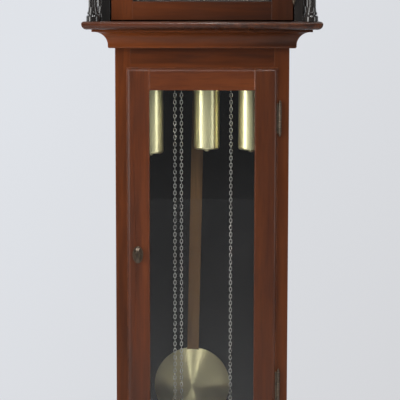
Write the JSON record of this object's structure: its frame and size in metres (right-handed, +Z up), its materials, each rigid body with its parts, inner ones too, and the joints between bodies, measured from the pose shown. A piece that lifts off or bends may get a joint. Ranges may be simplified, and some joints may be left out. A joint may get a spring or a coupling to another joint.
{
  "type": "longcase clock",
  "caption": "Tall glazed case clock with an arched hood door, chain-hung brass weights, a wooden pendulum with a brass bob and a train of wheels.",
  "frame": {"origin": "on the floor under the middle of the whole clock", "axes": "+Z up, the front faces -Y, +X to the right as seen from the front"},
  "size_m": [0.5314, 0.3518, 2.1135],
  "materials": {
    "mahogany": "red-brown stained mahogany, satin varnish",
    "back_pine": "plain softwood, stained",
    "black_lacquer": "ebonised turned wood, glossy",
    "stick_wood": "oiled straight-grained wood",
    "mask_black": "black painted board",
    "glass": "clear window glass",
    "bronze": "dark bronze patina",
    "brass": "polished and lacquered",
    "plate_brass": "satin brass",
    "bob_brass": "spun, radial sheen",
    "weight_brass": "polished shell",
    "dial_paint": "cream enamel paint",
    "silvered_ring": "silvered, circular grain",
    "blued_steel": "blued and polished",
    "steel": "bright drawn steel",
    "chain_steel": "nickelled links"
  },
  "bodies": {
    "case": {"backboard": "back_pine", "base_face_frame": "mahogany", "base_floor": "back_pine", "base_moulding": "mahogany", "base_panel": "mahogany", "base_sides": "mahogany", "case_hinge_leaves": "bronze", "chain_centre": "chain_steel", "chain_left": "chain_steel", "chain_right": "chain_steel", "chapter_ring": "silvered_ring", "chime_rods": "steel", "dial_mask": "mask_black", "dial_plate": "dial_paint", "hood_columns": "black_lacquer", "hood_cornice": "mahogany", "hood_finials": "brass", "hood_frieze": "mahogany", "hood_posts": "black_lacquer", "hood_sides": "mahogany", "hood_top_boards": "mahogany", "movement_frame": "plate_brass", "pediment": "mahogany", "pediment_rosettes": "brass", "plinth": "mahogany", "seat_board": "back_pine", "trunk_face_frame": "mahogany", "trunk_sides": "mahogany", "waist_cove": "mahogany", "waist_shelf": "mahogany"},
    "trunk_door": {"trunk_door_frame": "mahogany", "trunk_door_glass": "glass", "trunk_door_glass_beads": "mahogany", "trunk_door_escutcheon": "bronze", "trunk_door_hinge_leaves": "bronze"},
    "trunk_knob": {"trunk_door_knob": "bronze"},
    "hood_door": {"hood_door_frame": "mahogany", "hood_door_glass": "glass", "hood_door_knob": "brass", "hood_door_hinge_leaves": "bronze"},
    "pendulum": {"pendulum_stick": "stick_wood", "pendulum_bob": "bob_brass"},
    "anchor": {"anchor": "steel"},
    "minute_arbor": {"centre_arbor": "plate_brass", "minute_hand": "blued_steel"},
    "third_wheel": {"third_wheel": "plate_brass"},
    "escape_wheel": {"escape_wheel": "plate_brass"},
    "minute_wheel": {"minute_wheel": "plate_brass"},
    "hour_pipe": {"hour_wheel": "plate_brass", "hour_hand": "blued_steel"},
    "strike_sprocket": {"strike_sprocket": "plate_brass"},
    "time_sprocket": {"time_sprocket": "plate_brass"},
    "chime_sprocket": {"chime_sprocket": "plate_brass"},
    "weight_left": {"weight_left": "weight_brass"},
    "weight_centre": {"weight_centre": "weight_brass"},
    "weight_right": {"weight_right": "weight_brass"},
    "tail_left": {"tail_ring_left": "brass"},
    "tail_centre": {"tail_ring_centre": "brass"},
    "tail_right": {"tail_ring_right": "brass"},
    "chime_hammers": {"chime_hammers": "steel"}
  },
  "joints": [
    {"name": "trunk_door_swing", "type": "hinge", "parent": "case", "child": "trunk_door", "pos_m": [0.1625, -0.0946, 0.8665], "axis": [0, 0, 1], "range_deg": [0, 110]},
    {"name": "trunk_knob_turn", "type": "hinge", "parent": "trunk_door", "child": "trunk_knob", "pos_m": [-0.135, -0.0991, 0.8645], "axis": [0, 1, 0], "range_deg": [0, 90]},
    {"name": "hood_door_swing", "type": "hinge", "parent": "case", "child": "hood_door", "pos_m": [0.1884, -0.1194, 1.6], "axis": [0, 0, 1], "range_deg": [0, 105]},
    {"name": "pendulum_swing", "type": "hinge", "parent": "case", "child": "pendulum", "pos_m": [0, 0.0384, 1.593], "axis": [0, 1, 0], "range_deg": [-3.2, 0.8]},
    {"name": "anchor_rock", "type": "hinge", "parent": "case", "child": "anchor", "pos_m": [0, 0.0124, 1.593], "axis": [0, 1, 0], "range_deg": [-3.5, 1]},
    {"name": "minute_arbor_turn", "type": "hinge", "parent": "case", "child": "minute_arbor", "pos_m": [0, -0.0521, 1.5343], "axis": [0, 1, 0], "continuous": true},
    {"name": "third_wheel_turn", "type": "hinge", "parent": "case", "child": "third_wheel", "pos_m": [0.01802, -0.0521, 1.55191], "axis": [0, 1, 0], "continuous": true},
    {"name": "escape_wheel_turn", "type": "hinge", "parent": "case", "child": "escape_wheel", "pos_m": [0, -0.0521, 1.5647], "axis": [0, 1, 0], "continuous": true},
    {"name": "minute_wheel_turn", "type": "hinge", "parent": "case", "child": "minute_wheel", "pos_m": [0, -0.0521, 1.5103], "axis": [0, 1, 0], "continuous": true},
    {"name": "hour_pipe_turn", "type": "hinge", "parent": "case", "child": "hour_pipe", "pos_m": [0, -0.0521, 1.5343], "axis": [0, 1, 0], "continuous": true},
    {"name": "weight_left_drop", "type": "slide", "parent": "case", "child": "weight_left", "axis": [0, 0, 1], "range_m": [-0.74, 0.05], "deforming": ["chain_left"]},
    {"name": "tail_left_lift", "type": "slide", "parent": "case", "child": "tail_left", "axis": [0, 0, 1], "range_m": [-0.05, 0.74]},
    {"name": "strike_sprocket_turn", "type": "hinge", "parent": "case", "child": "strike_sprocket", "pos_m": [-0.0845, -0.0151, 1.4765], "axis": [0, 1, 0], "range_deg": [-1636, 115]},
    {"name": "weight_centre_drop", "type": "slide", "parent": "case", "child": "weight_centre", "axis": [0, 0, 1], "range_m": [-0.74, 0.05], "deforming": ["chain_centre"]},
    {"name": "tail_centre_lift", "type": "slide", "parent": "case", "child": "tail_centre", "axis": [0, 0, 1], "range_m": [-0.05, 0.74]},
    {"name": "time_sprocket_turn", "type": "hinge", "parent": "case", "child": "time_sprocket", "pos_m": [-0.0175, -0.0151, 1.4765], "axis": [0, 1, 0], "range_deg": [-111, 1575]},
    {"name": "weight_right_drop", "type": "slide", "parent": "case", "child": "weight_right", "axis": [0, 0, 1], "range_m": [-0.74, 0.05], "deforming": ["chain_right"]},
    {"name": "tail_right_lift", "type": "slide", "parent": "case", "child": "tail_right", "axis": [0, 0, 1], "range_m": [-0.05, 0.74]},
    {"name": "chime_sprocket_turn", "type": "hinge", "parent": "case", "child": "chime_sprocket", "pos_m": [0.083, -0.0151, 1.4765], "axis": [0, 1, 0], "range_deg": [-138, 1977]},
    {"name": "hammer_lift", "type": "hinge", "parent": "case", "child": "chime_hammers", "pos_m": [0, 0.1119, 1.44565], "axis": [1, 0, 0], "range_deg": [0, 8]}
  ],
  "couplings": [
    {"joint": "anchor_rock", "follows": "pendulum_swing", "ratio": 1},
    {"joint": "third_wheel_turn", "follows": "minute_arbor_turn", "ratio": -8},
    {"joint": "escape_wheel_turn", "follows": "minute_arbor_turn", "ratio": 60},
    {"joint": "minute_wheel_turn", "follows": "minute_arbor_turn", "ratio": -0.33333},
    {"joint": "hour_pipe_turn", "follows": "minute_arbor_turn", "ratio": 0.083333},
    {"joint": "tail_left_lift", "follows": "weight_left_drop", "ratio": -1},
    {"joint": "strike_sprocket_turn", "follows": "weight_left_drop", "rad_per_m": 38.462},
    {"joint": "tail_centre_lift", "follows": "weight_centre_drop", "ratio": -1},
    {"joint": "time_sprocket_turn", "follows": "weight_centre_drop", "rad_per_m": -37.037},
    {"joint": "tail_right_lift", "follows": "weight_right_drop", "ratio": -1},
    {"joint": "chime_sprocket_turn", "follows": "weight_right_drop", "rad_per_m": -46.512}
  ]
}
